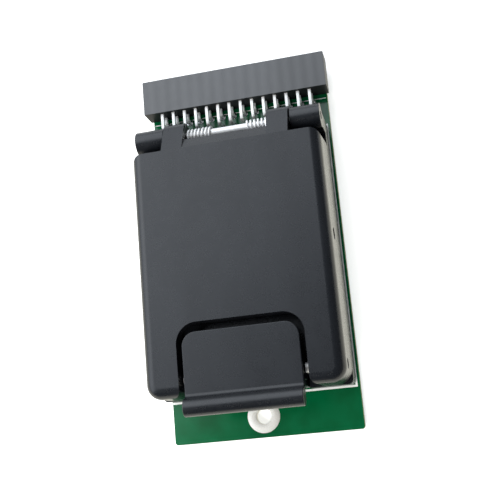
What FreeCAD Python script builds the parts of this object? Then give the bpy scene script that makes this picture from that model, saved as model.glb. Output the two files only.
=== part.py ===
import FreeCAD, Part
import math
import os

# Programmer adapter: a circuit board with a right-angle two-row socket header at one end
# and a clamshell test socket with a hinged, latched lid for a ball-grid memory chip.
# Lengths are millimetres. +X is to the right, +Y towards the header's open face, +Z up.
# The origin is the middle of the whole outline, at the level of the lowest solder tails.

V = FreeCAD.Vector
X_AXIS = V(1, 0, 0)
Y_AXIS = V(0, 1, 0)
Z_AXIS = V(0, 0, 1)
PARTS_DIR = "parts"

# Circuit board
BOARD_SIDE_MARGIN = 0.2
BOARD_APRON = 8.8
BOARD_T = 1.6
BOARD_CORNER_CUT = 0.4
TAIL_BELOW_BOARD = 1.3
MOUNT_HOLE_R = 1.6
MOUNT_HOLE_INSET = 4.3

# Header
PITCH = 2.54
HEADER_COLUMNS = 16
LOADED_COLUMNS = 14
HEADER_ROWS = 2
HEADER_DEPTH = 7.7
HEADER_OVERHANG = 0.5
CAVITY_SIDE = 1.5
CAVITY_DEPTH = 6.3
CAVITY_CHAMFER = 0.3
PIN_SIDE = 0.64
PIN_BEND_R = 0.9
PIN_HOLE_R = 0.58
PIN_SLIP = 0.02
LOWER_PIN_RUN = 1.5
FORK_T = 0.25
FORK_L = 4.6
FORK_GAP = 0.7

# Test socket: places along Y, chained from the header's back to the board's front
SOCKET_X = -0.55
HEADER_TO_HINGE = 8.8
HINGE_TO_REAR = 1.4
HINGE_TO_DECK = 10.8
DECK_TO_SLOT = 0.7
SLOT_L = 14.2

# Chip, its seat and the contacts
CHIP_W = 11.5
CHIP_L = 13.0
CHIP_CLEAR = 0.12
CHIP_SEAT_EDGE = 1.2
CHIP_SEAT_T = 1.2
CONTACT_PITCH = 0.5
CONTACT_COLUMNS = 13
CONTACT_ROWS = 17
CONTACT_SIDE = 0.2
CONTACT_BELOW_SEAT = 0.3
CONTACT_SLIP = 0.03
CARRIER_W = 13.0
CARRIER_L = 13.0
CARRIER_H = 4.2
CARRIER_FLANGE = 1.5
CARRIER_FLANGE_H = 1.2
CARRIER_CLEAR = 0.05

# Floating nest and the base's deck round it
NEST_SIDE = 23.2
NEST_CLEAR = 0.3
NEST_OVER_CARRIER = 0.8
NEST_POCKET_DEPTH = 2.6
NEST_CORNER_CUT = 1.0
NEST_SPRING_ROOM = 2.4
LEAD_IN = 1.7
LEAD_IN_DEPTH = 1.4
DECK_SIDE_WALL = 2.6
DECK_END_WALL = 2.3
DECK_OVER_NEST = 0.2
DECK_CORNER_CUT = 1.2
RIM_H = 5.0
BASE_CORNER_R = 1.0
NEST_SCREW_OFFSET = 9.3
NEST_SCREW_R = 0.7
NEST_SCREW_DEPTH = 1.6
NEST_HEAD_R = 1.3
NEST_HEAD_H = 0.9
NEST_HEAD_SINK = 0.3
NEST_HOLE_SLIP = 0.15

# Pressure plate under the lid
FOOT_INSET = 0.35
FOOT_OVER_SEAT = 0.7
PLATE_W = 19.0
PLATE_L = 15.0
PLATE_T = 3.7
PLATE_OVER_DECK = 0.5
PLATE_CORNER_CUT = 1.2
PLATE_PIN_SLIP = 0.05
PRESSURE_PIN_R = 1.25
PRESSURE_PIN_RISE = 1.5
PLATE_TO_CEILING = 0.9
CHEEK_GAP = 0.4
CHEEK_W = 2.2
CHEEK_L = 6.0
PLATE_SPRING_Y = 4.6
PLATE_SPRING_DEPTH = 1.7

# Lid
LID_GAP = 0.25
LID_WALL = 2.0
LID_ROOF = 2.4
LID_TO_DECK = 3.1
LID_CORNER_R = 3.0
LID_INNER_CORNER_CUT = 1.2
LID_TOP_R = 2.2
LID_REAR_CORNER_R = 2.3
LID_REAR_STEPS = 5
LID_REAR_TOP_AHEAD = 4.3
LID_REAR_FOOT_AHEAD = 2.6
LEDGE_TOP_DROP = 0.4
LEDGE_EDGE_AHEAD = 1.8
LEDGE_EDGE_DROP = 2.3
LEDGE_OVER_SPRING = 0.035

# Hinge
HINGE_DROP = 5.9
BARREL_R = 2.5
KNUCKLE_R = 2.9
KNUCKLE_IN = 8.8
KNUCKLE_W = 4.4
KNUCKLE_GAP = 0.25
TOWER_AHEAD = 1.9
SHAFT_R = 0.85
SHAFT_SLIP = 0.04
SHAFT_END_INSET = 0.6

# Latch and its seat in the lid
LATCH_W = 23.1
LATCH_SIDE_GAP = 1.08
LATCH_REAR_GAP = 1.85
LATCH_FRONT_INSET = 0.25
LATCH_T = 1.7
LATCH_CORNER_R = 2.8
SLOT_CORNER_R = 4.2
SLOT_FLARE_R = 1.6
SLOT_WALL = 1.6
LATCH_PIN_INSET = 3.5
LATCH_PIN_DROP = 4.4
LATCH_PIN_R = 1.0
LATCH_BOSS_R = 2.3
LEG_W = 21.0
LEG_INSET = 1.9
HOOK_LOW_H = 1.3
HOOK_TOP_H = 3.0
HOOK_CLEAR = 0.05
ROLL_R = 1.75
ROLL_AHEAD = 2.05
ROLL_RISE = 0.75
LIP_FILLET_R = 0.9
LIP_FILLET_STEPS = 5
NOTCH_CLEAR = 0.4
CATCH_INSET = 2.5
CATCH_DEPTH = 1.3
CATCH_CLEAR = 0.3
SHELF_L = 7.7
SHELF_OVER_DECK = 0.4
SHELF_T = 1.2

# Springs
HINGE_WIRE = 0.45
COIL_OVER_SHAFT = 0.16
HINGE_COIL_PITCH = 0.66
HINGE_TURNS_LEFT = 7.25
HINGE_TURNS_RIGHT = 6.25
HINGE_SPRING_GAP = 0.45
HINGE_LEG_L = 5.4
HINGE_COIL_SIDES = 8
SMALL_WIRE = 0.3
SMALL_COIL_SIDES = 6
NEST_COIL_R = 1.15
NEST_COIL_TURNS = 3
LATCH_COIL_R = 1.2
LATCH_COIL_TURNS = 4
LATCH_SPRING_X = 7.0
LATCH_SPRING_INSET = 4.2
PLATE_COIL_R = 1.1
PLATE_COIL_TURNS = 3
SPRING_END_GAP = 0.02
SPRING_POCKET_SLIP = 0.25

# Socket fasteners
SCREW_R = 1.0
SCREW_HEAD_R = 1.9
SCREW_KEY_R = 0.8
SCREW_KEY_DEPTH = 0.6
SCREW_GRIP = 3.8
SCREW_SLIP = 0.02
SCREW_BOARD_SLIP = 0.1
SCREW_SIDE_INSET = 3.2
SCREW_FRONT_INSET = 4.9
SCREW_TO_HINGE = 5.8
POST_R = 0.75
POST_BEHIND_CHIP = 4.8
SCREW_SIDES = 10
KEY_SIDES = 6
TAIL_HOLE_SIDES = 6

# Widths worked out from the sizes above
DECK_W = NEST_SIDE + 2 * (NEST_CLEAR + DECK_SIDE_WALL)
DECK_L = NEST_SIDE + 2 * (NEST_CLEAR + DECK_END_WALL)
SOCKET_W = DECK_W + 2 * (LID_TO_DECK + LID_WALL)
HALF_W = SOCKET_W / 2
BOARD_W = SOCKET_W + 2 * BOARD_SIDE_MARGIN
SLOT_W = LATCH_W + 2 * LATCH_SIDE_GAP
HEADER_W = HEADER_COLUMNS * PITCH
SCREW_X = HALF_W - SCREW_SIDE_INSET
HINGE_COIL_R = SHAFT_R + HINGE_WIRE / 2 + COIL_OVER_SHAFT
UPPER_PIN_RUN = LOWER_PIN_RUN + PITCH

# Places along Y
SOCKET_L = SLOT_L + DECK_TO_SLOT + DECK_L + HINGE_TO_DECK
OVERALL_L = BOARD_APRON + SOCKET_L + HEADER_TO_HINGE + HEADER_DEPTH
BOARD_FRONT_Y = -OVERALL_L / 2
MOUNT_HOLE_Y = BOARD_FRONT_Y + MOUNT_HOLE_INSET
HEADER_FACE_Y = OVERALL_L / 2
HEADER_BACK_Y = HEADER_FACE_Y - HEADER_DEPTH
BOARD_REAR_Y = HEADER_FACE_Y - HEADER_OVERHANG
HINGE_Y = HEADER_BACK_Y - HEADER_TO_HINGE
SOCKET_REAR_Y = HINGE_Y + HINGE_TO_REAR
CHIP_Y = HINGE_Y - HINGE_TO_DECK - DECK_L / 2
POST_Y = CHIP_Y + POST_BEHIND_CHIP
SLOT_REAR_Y = CHIP_Y - DECK_L / 2 - DECK_TO_SLOT
SOCKET_FRONT_Y = SLOT_REAR_Y - SLOT_L
SCREW_FRONT_Y = SOCKET_FRONT_Y + SCREW_FRONT_INSET
SCREW_REAR_Y = HINGE_Y - SCREW_TO_HINGE
LID_REAR_TOP_Y = HINGE_Y - LID_REAR_TOP_AHEAD
LID_REAR_FOOT_Y = HINGE_Y - LID_REAR_FOOT_AHEAD
LEDGE_EDGE_Y = HINGE_Y - LEDGE_EDGE_AHEAD
LATCH_REAR_Y = SLOT_REAR_Y - LATCH_REAR_GAP
LATCH_FRONT_Y = SOCKET_FRONT_Y + LATCH_FRONT_INSET
LATCH_PIN_Y = SOCKET_FRONT_Y + LATCH_PIN_INSET
LATCH_SPRING_Y = SLOT_REAR_Y - LATCH_SPRING_INSET
LEG_INNER_Y = SOCKET_FRONT_Y + LEG_INSET
CATCH_Y = SOCKET_FRONT_Y + CATCH_INSET
ROLL_Y = SOCKET_FRONT_Y - ROLL_AHEAD
SHELF_FRONT_Y = SLOT_REAR_Y - SHELF_L

# Heights, chained from the board's top up to the lid's top
TOP = TAIL_BELOW_BOARD + BOARD_T
HEADER_H = HEADER_ROWS * PITCH
CARRIER_TOP_Z = TOP + CARRIER_H
NEST_LOW_Z = CARRIER_TOP_Z + NEST_OVER_CARRIER
NEST_FLOOR_Z = NEST_LOW_Z - NEST_SPRING_ROOM
CHIP_SEAT_Z = NEST_LOW_Z + CHIP_SEAT_T
CONTACT_TOP_Z = CHIP_SEAT_Z - CONTACT_BELOW_SEAT
NEST_TOP_Z = CHIP_SEAT_Z + NEST_POCKET_DEPTH
DECK_Z = NEST_TOP_Z + DECK_OVER_NEST
FOOT_LOW_Z = CHIP_SEAT_Z + FOOT_OVER_SEAT
PLATE_LOW_Z = DECK_Z + PLATE_OVER_DECK
PRESSURE_PIN_Z = PLATE_LOW_Z + PRESSURE_PIN_RISE
PLATE_TOP_Z = PLATE_LOW_Z + PLATE_T
LID_CEILING_Z = PLATE_TOP_Z + PLATE_TO_CEILING
LID_TOP_Z = LID_CEILING_Z + LID_ROOF
LID_FOOT_Z = TOP + RIM_H + LID_GAP
SHELF_LOW_Z = DECK_Z + SHELF_OVER_DECK
SHELF_TOP_Z = SHELF_LOW_Z + SHELF_T
LATCH_UNDER_Z = LID_TOP_Z - LATCH_T
LATCH_PIN_Z = LID_TOP_Z - LATCH_PIN_DROP
ROLL_Z = LID_TOP_Z + ROLL_RISE
HINGE_Z = LID_TOP_Z - HINGE_DROP
LEDGE_EDGE_Z = LID_TOP_Z - LEDGE_EDGE_DROP
LEDGE_FOOT_Z = HINGE_Z + HINGE_COIL_R + HINGE_WIRE / 2 + LEDGE_OVER_SPRING


def box(x0, x1, y0, y1, z0, z1):
    """Box between two corners."""
    return Part.makeBox(x1 - x0, y1 - y0, z1 - z0, V(x0, y0, z0))


def mid_box(width, y0, y1, z0, z1):
    """Box of a width centred on the test socket's middle plane."""
    return box(SOCKET_X - width / 2, SOCKET_X + width / 2, y0, y1, z0, z1)


def rod(radius, length, start, axis):
    """Cylinder from a start point along an axis."""
    return Part.makeCylinder(radius, length, start, axis)


def sided_rod(radius, sides, length, x, y, z):
    """Upright prism for a small screw, post or hole. The radius is to its corners."""
    turns = [2 * math.pi * k / sides for k in range(sides)]
    ring = [V(x + radius * math.cos(turn), y + radius * math.sin(turn), z) for turn in turns]
    return polygon(ring).extrude(V(0, 0, length))


def cross_rod(radius, x0, x1, y, z):
    """Cylinder along X between two places measured from the socket's middle."""
    return rod(radius, x1 - x0, V(SOCKET_X + x0, y, z), X_AXIS)


def polygon(points):
    return Part.Face(Part.makePolygon(points + [points[0]]))


def side_prism(outline, x0, x1):
    """Solid from a (y, z) outline, between two places measured from the socket's middle."""
    face = polygon([V(SOCKET_X + x0, y, z) for y, z in outline])
    return face.extrude(V(x1 - x0, 0, 0))


def chip_block(width, length, z0, z1):
    """Upright block centred on the chip."""
    return mid_box(width, CHIP_Y - length / 2, CHIP_Y + length / 2, z0, z1)


def closed_solid(faces):
    solid = Part.makeSolid(Part.makeShell(faces))
    if solid.Volume < 0:
        solid.reverse()
    return solid


def tapered_block(low, high):
    """Solid between two rectangles given by corners in the same order."""
    sides = [polygon([low[k - 1], low[k], high[k], high[k - 1]]) for k in range(4)]
    return closed_solid([polygon(low), polygon(high)] + sides)


def is_upright(edge):
    direction = edge.Vertexes[-1].Point - edge.Vertexes[0].Point
    return edge.Length > 1e-6 and abs(direction.z) > 0.9 * edge.Length


def round_uprights(shape, radius, keep=lambda point: True):
    """Fillet the upright straight edges whose middle point passes the test."""
    edges = [e for e in shape.Edges if is_upright(e) and keep(e.CenterOfMass)]
    return shape.makeFillet(radius, edges)


def cut_uprights(shape, size, keep=lambda point: True):
    """Chamfer the upright straight edges whose middle point passes the test."""
    edges = [e for e in shape.Edges if is_upright(e) and keep(e.CenterOfMass)]
    return shape.makeChamfer(size, edges)


def edges_at_height(shape, z):
    return [e for e in shape.Edges if all(abs(v.Z - z) < 1e-6 for v in e.Vertexes)]


def contact_offsets(count):
    """Offsets of the contact columns, or rows, from the chip's middle."""
    return [(i - (count - 1) / 2) * CONTACT_PITCH for i in range(count)]


def four_corners(offset_x, front_y, rear_y):
    return [(SOCKET_X + side * offset_x, y) for side in (-1, 1) for y in (front_y, rear_y)]


def pin_columns():
    """X of each header column that carries contacts."""
    first = -(LOADED_COLUMNS - 1) / 2 * PITCH
    return [first + i * PITCH for i in range(LOADED_COLUMNS)]


def header_row_z(row):
    return TOP + (row + 0.5) * PITCH


def tail_y(run):
    """Y of a header tail's centre line, which drops through the board."""
    return HEADER_BACK_Y - run


# Coil springs
def coil(mean_r, wire, turns, pitch, sides, start_leg=0.0, end_leg=0.0):
    """Square-wire coil about +X, wound upwards from its rear side, with straight tangent legs."""
    stations = []
    for step in range(round(turns * sides) + 1):
        angle = 2 * math.pi * step / sides
        radial = V(0, math.cos(angle), math.sin(angle))
        centre = radial * mean_r + V(pitch * step / sides, 0, 0)
        stations.append((centre, radial))
    stations = add_legs(stations, start_leg, end_leg)
    return sweep_square(stations, wire / 2)


def add_legs(stations, start_leg, end_leg):
    """Put a tangent station before the first and after the last where a leg is asked for."""
    first_centre, first_radial = stations[0]
    last_centre, last_radial = stations[-1]
    if start_leg:
        back = first_radial.cross(X_AXIS)
        stations = [(first_centre + back * start_leg, first_radial)] + stations
    if end_leg:
        onward = X_AXIS.cross(last_radial)
        stations = stations + [(last_centre + onward * end_leg, last_radial)]
    return stations


def sweep_square(stations, half):
    """Closed solid through square sections whose sides lie along X and the radial direction."""
    rings = []
    for centre, radial in stations:
        corners = [centre + X_AXIS * (half * i) + radial * (half * j)
                   for i, j in ((-1, -1), (1, -1), (1, 1), (-1, 1))]
        rings.append(corners)
    faces = [polygon(rings[0]), polygon(rings[-1])]
    for near, far in zip(rings, rings[1:]):
        for k in range(4):
            nxt = (k + 1) % 4
            faces.append(polygon([near[k], near[nxt], far[nxt]]))
            faces.append(polygon([near[k], far[nxt], far[k]]))
    return closed_solid(faces)


def upright_coil(mean_r, wire, turns, x, y, z0, z1):
    """Compression spring standing between two heights."""
    pitch = (z1 - z0 - wire - 2 * SPRING_END_GAP) / turns
    spring = coil(mean_r, wire, turns, pitch, SMALL_COIL_SIDES)
    spring.rotate(V(0, 0, 0), Y_AXIS, -90)
    spring.translate(V(x, y, z0 + SPRING_END_GAP + wire / 2))
    return spring


# Board and header
def circuit_board():
    board = box(-BOARD_W / 2, BOARD_W / 2, BOARD_FRONT_Y, BOARD_REAR_Y, TAIL_BELOW_BOARD, TOP)
    board = cut_uprights(board, BOARD_CORNER_CUT)
    holes = [rod(MOUNT_HOLE_R, BOARD_T, V(SOCKET_X, MOUNT_HOLE_Y, TAIL_BELOW_BOARD), Z_AXIS)]
    for run in (LOWER_PIN_RUN, UPPER_PIN_RUN):
        holes += [board_hole(PIN_HOLE_R, TAIL_HOLE_SIDES, x, tail_y(run)) for x in pin_columns()]
    for x, y in four_corners(SCREW_X, SCREW_FRONT_Y, SCREW_REAR_Y):
        holes.append(board_hole(SCREW_R + SCREW_BOARD_SLIP, SCREW_SIDES, x, y))
    for x in post_columns():
        holes.append(board_hole(POST_R + SCREW_SLIP, SCREW_SIDES, x, POST_Y))
    return board.cut(Part.makeCompound(holes))


def board_hole(radius, sides, x, y):
    return sided_rod(radius, sides, BOARD_T, x, y, TAIL_BELOW_BOARD)


def post_columns():
    return [SOCKET_X + side * SCREW_X for side in (-1, 1)]


def header_cavity(x, z):
    """Square contact cavity with a lead-in, open at the header's face."""
    half = CAVITY_SIDE / 2
    bore = box(x - half, x + half, HEADER_FACE_Y - CAVITY_DEPTH, HEADER_FACE_Y, z - half, z + half)
    lead_in = tapered_block(square_at(x, HEADER_FACE_Y - CAVITY_CHAMFER, z, half),
                            square_at(x, HEADER_FACE_Y, z, half + CAVITY_CHAMFER))
    return bore.fuse(lead_in)


def square_at(x, y, z, half):
    return [V(x + i * half, y, z + j * half) for i, j in ((-1, -1), (1, -1), (1, 1), (-1, 1))]


def header_housing():
    body = box(-HEADER_W / 2, HEADER_W / 2, HEADER_BACK_Y, HEADER_FACE_Y, TOP, TOP + HEADER_H)
    rows_z = [header_row_z(row) for row in range(HEADER_ROWS)]
    first = -(HEADER_COLUMNS - 1) / 2 * PITCH
    columns = [first + i * PITCH for i in range(HEADER_COLUMNS)]
    cavities = [header_cavity(x, z) for x in columns for z in rows_z]
    half = PIN_SIDE / 2 + PIN_SLIP
    slits = [box(x - half, x + half, HEADER_BACK_Y - 1, HEADER_FACE_Y - CAVITY_DEPTH + 1, z - half, z + half)
             for x in pin_columns() for z in rows_z]
    return body.cut(Part.makeCompound(cavities + slits))


def header_contact(x, row, run):
    """Stamped contact: two fork leaves in the cavity, a shank and a tail bent down through the board."""
    z = header_row_z(row)
    half = PIN_SIDE / 2
    tail = tail_y(run)
    back_y = HEADER_FACE_Y - CAVITY_DEPTH
    root_y = back_y + FORK_T
    tip_y = root_y + FORK_L
    slit = FORK_GAP / 2
    reach = slit + FORK_T
    turn = [math.pi / 2 * k / 2 for k in range(3)]

    def on_bend(radius, angle):
        return (tail + PIN_BEND_R - radius * math.sin(angle), z - PIN_BEND_R + radius * math.cos(angle))

    outline = [(back_y, z + half)] + [on_bend(PIN_BEND_R + half, angle) for angle in turn]
    outline += [(tail - half, 0), (tail + half, 0)]
    outline += [on_bend(PIN_BEND_R - half, angle) for angle in reversed(turn)]
    outline += [(back_y, z - half), (back_y, z - reach), (tip_y, z - reach), (tip_y, z - slit),
                (root_y, z - slit), (root_y, z + slit), (tip_y, z + slit), (tip_y, z + reach),
                (back_y, z + reach)]
    return polygon([V(x - half, y, height) for y, height in outline]).extrude(V(PIN_SIDE, 0, 0))


def header_pins(row, run):
    return Part.makeCompound([header_contact(x, row, run) for x in pin_columns()])


# Test socket, fixed pieces
def socket_base():
    plate = mid_box(SOCKET_W, SOCKET_FRONT_Y, SOCKET_REAR_Y, TOP, TOP + RIM_H)
    plate = round_uprights(plate, BASE_CORNER_R, keep=lambda p: p.y < SLOT_REAR_Y)
    solids = [cut_uprights(chip_block(DECK_W, DECK_L, TOP, DECK_Z), DECK_CORNER_CUT)]
    solids += [hinge_tower(side) for side in (-1, 1)]
    solids += [sided_rod(POST_R, SCREW_SIDES, BOARD_T, x, POST_Y, TAIL_BELOW_BOARD) for x in post_columns()]
    base = plate.multiFuse(solids).removeSplitter()
    pocket = NEST_SIDE + 2 * NEST_CLEAR
    cuts = [
        mid_box(LEG_W + 2 * NOTCH_CLEAR, SOCKET_FRONT_Y - 1, CATCH_Y, TOP, TOP + RIM_H),
        mid_box(LEG_W + 2 * NOTCH_CLEAR, CATCH_Y - 1, CATCH_Y + CATCH_DEPTH,
                TOP + HOOK_LOW_H - CATCH_CLEAR, TOP + HOOK_TOP_H + CATCH_CLEAR),
        cut_uprights(chip_block(pocket, pocket, NEST_FLOOR_Z, DECK_Z), NEST_CORNER_CUT),
        carrier_block(CARRIER_CLEAR),
        cross_rod(SHAFT_R + SHAFT_SLIP, -HALF_W - 1, HALF_W + 1, HINGE_Y, HINGE_Z),
    ]
    for x, y in four_corners(SCREW_X, SCREW_FRONT_Y, SCREW_REAR_Y):
        cuts.append(sided_rod(SCREW_R + SCREW_SLIP, SCREW_SIDES, SCREW_GRIP + SCREW_SLIP, x, y, TOP))
    for x, y in nest_screw_places():
        cuts.append(sided_rod(NEST_SCREW_R + SCREW_SLIP, SCREW_SIDES, NEST_SCREW_DEPTH,
                              x, y, NEST_FLOOR_Z - NEST_SCREW_DEPTH))
    return base.cut(Part.makeCompound(cuts))


def hinge_tower(side):
    """Tower and barrel that hold one end of the hinge shaft."""
    inner = KNUCKLE_IN + KNUCKLE_W + KNUCKLE_GAP
    x0, x1 = sorted((side * inner, side * HALF_W))
    tower = box(SOCKET_X + x0, SOCKET_X + x1, HINGE_Y - TOWER_AHEAD, SOCKET_REAR_Y, TOP, HINGE_Z)
    return tower.fuse(cross_rod(BARREL_R, x0, x1, HINGE_Y, HINGE_Z))


def nest_screw_places():
    return four_corners(NEST_SCREW_OFFSET, CHIP_Y - NEST_SCREW_OFFSET, CHIP_Y + NEST_SCREW_OFFSET)


def carrier_block(clear):
    """Contact carrier's outline, or its seat in the base when grown by a clearance."""
    grow = 2 * clear
    body = chip_block(CARRIER_W + grow, CARRIER_L + grow, TOP, CARRIER_TOP_Z)
    flange = chip_block(CARRIER_W + 2 * CARRIER_FLANGE + grow, CARRIER_L + 2 * CARRIER_FLANGE + grow,
                        TOP, TOP + CARRIER_FLANGE_H + clear)
    return body.fuse(flange)


def contact_carrier():
    """Carrier slotted from end to end of the contact grid, one slot for each column."""
    width = CONTACT_SIDE + 2 * CONTACT_SLIP
    length = (CONTACT_ROWS - 1) * CONTACT_PITCH + width
    slots = []
    for offset in contact_offsets(CONTACT_COLUMNS):
        slot = chip_block(width, length, TOP, CARRIER_TOP_Z)
        slot.translate(V(offset, 0, 0))
        slots.append(slot)
    return carrier_block(0.0).cut(Part.makeCompound(slots)).removeSplitter()


def contact_pins():
    posts = []
    for offset_x in contact_offsets(CONTACT_COLUMNS):
        for offset_y in contact_offsets(CONTACT_ROWS):
            post = chip_block(CONTACT_SIDE, CONTACT_SIDE, TOP, CONTACT_TOP_Z)
            post.translate(V(offset_x, offset_y, 0))
            posts.append(post)
    return Part.makeCompound(posts)


def socket_screw(x, y):
    """Socket-head screw that holds the test socket from under the board."""
    head = sided_rod(SCREW_HEAD_R, SCREW_SIDES, TAIL_BELOW_BOARD, x, y, 0)
    shank = sided_rod(SCREW_R, SCREW_SIDES, BOARD_T + SCREW_GRIP, x, y, TAIL_BELOW_BOARD)
    return head.fuse(shank).cut(sided_rod(SCREW_KEY_R, KEY_SIDES, SCREW_KEY_DEPTH, x, y, 0))


def socket_screws():
    places = four_corners(SCREW_X, SCREW_FRONT_Y, SCREW_REAR_Y)
    return Part.makeCompound([socket_screw(x, y) for x, y in places])


def hinge_shaft():
    reach = HALF_W - SHAFT_END_INSET
    return cross_rod(SHAFT_R, -reach, reach, HINGE_Y, HINGE_Z)


def hinge_spring(side, turns):
    """Torsion spring: a lower leg stands on the base, an upper leg lies under the lid's ledge."""
    foot = HINGE_Z - TOP - RIM_H - SPRING_END_GAP
    spring = coil(HINGE_COIL_R, HINGE_WIRE, turns, HINGE_COIL_PITCH, HINGE_COIL_SIDES, foot, HINGE_LEG_L)
    width = turns * HINGE_COIL_PITCH
    start = KNUCKLE_IN - HINGE_SPRING_GAP - width
    if side < 0:
        spring = spring.mirror(V(0, 0, 0), X_AXIS)
    spring.translate(V(SOCKET_X + side * start, HINGE_Y, HINGE_Z))
    return spring


# Test socket, moving nest
def nest_screw(x, y):
    """Shoulder screw that keeps the nest down against its springs."""
    bottom = NEST_FLOOR_Z - NEST_SCREW_DEPTH
    head_z = NEST_TOP_Z - NEST_HEAD_SINK - NEST_HEAD_H
    shank = sided_rod(NEST_SCREW_R, SCREW_SIDES, head_z - bottom, x, y, bottom)
    return shank.fuse(sided_rod(NEST_HEAD_R, SCREW_SIDES, NEST_HEAD_H, x, y, head_z))


def nest_screws():
    return Part.makeCompound([nest_screw(x, y) for x, y in nest_screw_places()])


def nest_springs():
    return Part.makeCompound([
        upright_coil(NEST_COIL_R, SMALL_WIRE, NEST_COIL_TURNS, x, y, NEST_FLOOR_Z, NEST_LOW_Z)
        for x, y in nest_screw_places()])


def chip_nest():
    """Floating frame with a tapered chip pocket over an open window for the contact tips."""
    frame = cut_uprights(chip_block(NEST_SIDE, NEST_SIDE, NEST_LOW_Z, NEST_TOP_Z), NEST_CORNER_CUT)
    seat_w = CHIP_W + 2 * CHIP_CLEAR
    seat_l = CHIP_L + 2 * CHIP_CLEAR
    window = chip_block(seat_w - 2 * CHIP_SEAT_EDGE, seat_l - 2 * CHIP_SEAT_EDGE, NEST_LOW_Z, NEST_TOP_Z)
    seat = chip_block(seat_w, seat_l, CHIP_SEAT_Z, NEST_TOP_Z)
    lead_in = tapered_block(chip_corners(seat_w, seat_l, NEST_TOP_Z - LEAD_IN_DEPTH),
                            chip_corners(seat_w + 2 * LEAD_IN, seat_l + 2 * LEAD_IN, NEST_TOP_Z))
    cuts = [window, seat, lead_in]
    head_z = NEST_TOP_Z - NEST_HEAD_SINK - NEST_HEAD_H
    head_r = NEST_HEAD_R + NEST_HOLE_SLIP
    shank_r = NEST_SCREW_R + NEST_HOLE_SLIP
    for x, y in nest_screw_places():
        cuts.append(sided_rod(head_r, SCREW_SIDES, NEST_TOP_Z - head_z, x, y, head_z))
        cuts.append(sided_rod(shank_r, SCREW_SIDES, head_z - NEST_LOW_Z, x, y, NEST_LOW_Z))
    return frame.cut(Part.makeCompound(cuts))


def chip_corners(width, length, z):
    return [V(SOCKET_X + i * width / 2, CHIP_Y + j * length / 2, z)
            for i, j in ((-1, -1), (1, -1), (1, 1), (-1, 1))]


# Lid and what it carries
def lid_cover():
    shell = lid_shell()
    adds = [lid_ledge()] + [lid_knuckle(side) for side in (-1, 1)] + lid_slot_walls()
    adds += lid_cheeks()
    lid = shell.multiFuse(adds)
    lid = lid.cut(Part.makeCompound(lid_cuts()))
    return lid.removeSplitter()


def lid_shell():
    """Moulded cover: edges rolled over at the front and sides, a crisp edge along the slanted rear."""
    front_y = SOCKET_FRONT_Y
    beyond_y = HEADER_BACK_Y
    outer = mid_box(SOCKET_W, front_y, beyond_y, LID_FOOT_Z, LID_TOP_Z)
    outer = round_uprights(outer, LID_CORNER_R, keep=lambda p: p.y < SLOT_REAR_Y)
    rolled = [e for e in edges_at_height(outer, LID_TOP_Z) if e.CenterOfMass.y < beyond_y - 0.01]
    outer = outer.makeFillet(LID_TOP_R, rolled)
    outer = outer.common(slanted_plan(0.0, LID_REAR_CORNER_R, LID_REAR_STEPS))
    inner = mid_box(SOCKET_W - 2 * LID_WALL, front_y + LID_WALL, beyond_y, LID_FOOT_Z - 1, LID_CEILING_Z)
    inner = cut_uprights(inner, LID_INNER_CORNER_CUT, keep=lambda p: p.y < SLOT_REAR_Y)
    return outer.cut(inner.common(slanted_plan(LID_WALL, LID_INNER_CORNER_CUT, 1)))


def slanted_plan(inset, radius, steps):
    """Prism that leans with the lid's rear face, its rear corners turned in a number of steps."""
    lean = (LID_REAR_TOP_Y - LID_REAR_FOOT_Y) / (LID_TOP_Z - LID_FOOT_Z)
    rise = LID_TOP_Z - LID_FOOT_Z + 2
    rear_y = LID_REAR_FOOT_Y - lean - inset
    half = HALF_W - inset
    z = LID_FOOT_Z - 1
    right = []
    for k in range(steps + 1):
        angle = math.pi / 2 * k / steps
        right.append((half - radius * (1 - math.cos(angle)), rear_y - radius * (1 - math.sin(angle))))
    left = [(-x, y) for x, y in reversed(right)]
    front_y = SOCKET_FRONT_Y - LID_TOP_Z
    outline = [(-half, front_y), (half, front_y)] + right + left
    return polygon([V(SOCKET_X + x, y, z) for x, y in outline]).extrude(V(0, lean * rise, rise))


def lid_ledge():
    """Sloping ledge behind the roof, between the knuckles, which the hinge springs push up."""
    outline = [(LID_REAR_TOP_Y - LID_WALL, LEDGE_FOOT_Z),
               (LID_REAR_TOP_Y - LID_WALL, LID_CEILING_Z),
               (LID_REAR_TOP_Y, LID_TOP_Z - LEDGE_TOP_DROP),
               (LEDGE_EDGE_Y, LEDGE_EDGE_Z),
               (LEDGE_EDGE_Y, LEDGE_FOOT_Z)]
    return side_prism(outline, -KNUCKLE_IN, KNUCKLE_IN)


def lid_knuckle(side):
    """Hinge knuckle whose flat top runs from the roof's rear edge down to the barrel."""
    x0, x1 = sorted((side * KNUCKLE_IN, side * (KNUCKLE_IN + KNUCKLE_W)))
    barrel = cross_rod(KNUCKLE_R, x0, x1, HINGE_Y, HINGE_Z)
    roof_y = LID_REAR_TOP_Y
    roof_z = LID_TOP_Z - LEDGE_TOP_DROP
    top_y, top_z = tangent_point(roof_y, roof_z, HINGE_Y, HINGE_Z, KNUCKLE_R)
    arm = side_prism([(roof_y - LID_WALL, HINGE_Z - KNUCKLE_R), (roof_y - LID_WALL, LID_CEILING_Z),
                      (roof_y, roof_z), (top_y, top_z), (HINGE_Y, HINGE_Z),
                      (HINGE_Y, HINGE_Z - KNUCKLE_R)], x0, x1)
    return barrel.fuse(arm)


def tangent_point(y, z, centre_y, centre_z, radius):
    """Upper point where a line from (y, z) touches the circle, which lies to its rear."""
    dy = centre_y - y
    dz = centre_z - z
    distance = math.hypot(dy, dz)
    angle = math.atan2(dz, dy) + math.asin(radius / distance)
    reach = math.sqrt(distance ** 2 - radius ** 2)
    return y + reach * math.cos(angle), z + reach * math.sin(angle)


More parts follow.
